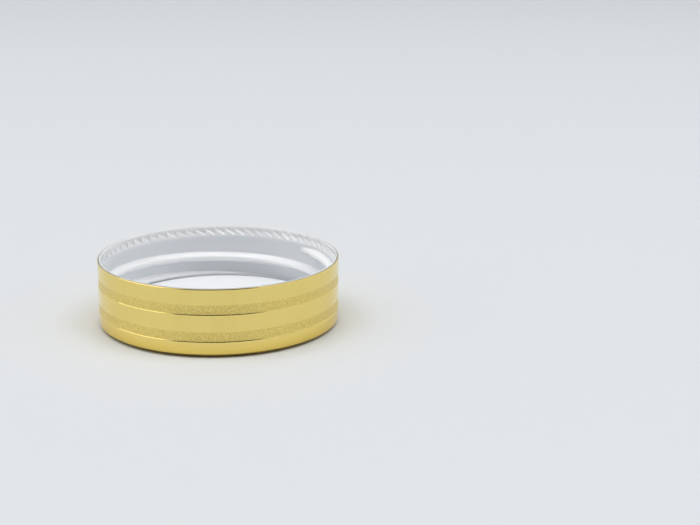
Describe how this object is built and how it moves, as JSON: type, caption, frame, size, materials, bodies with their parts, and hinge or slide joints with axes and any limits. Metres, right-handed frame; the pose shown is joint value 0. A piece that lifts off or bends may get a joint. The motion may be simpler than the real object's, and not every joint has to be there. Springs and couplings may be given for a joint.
{
  "type": "jar lid",
  "caption": "Round screw-on jar lid: drawn metal shell with frosted bands, white threaded insert with a ratchet rim, and a flat sealing disc.",
  "frame": {"origin": "centre of the closed face, on its outer side, which is the lid's lowest plane as it lies in the picture", "axes": "+Z along the lid's axis, out of the open mouth; X and Y across it, with +X to the right and +Y away in the picture"},
  "size_m": [0.051, 0.051, 0.0143],
  "materials": {
    "shell_metal": "bright gold-coloured anodised sheet with two frosted bands",
    "insert_plastic": "white glossy moulded plastic",
    "liner_plastic": "white smooth foamed sheet, satin"
  },
  "bodies": {
    "root": {"outer_shell": "shell_metal", "inner_cap": "insert_plastic", "liner": "liner_plastic"}
  },
  "joints": []
}
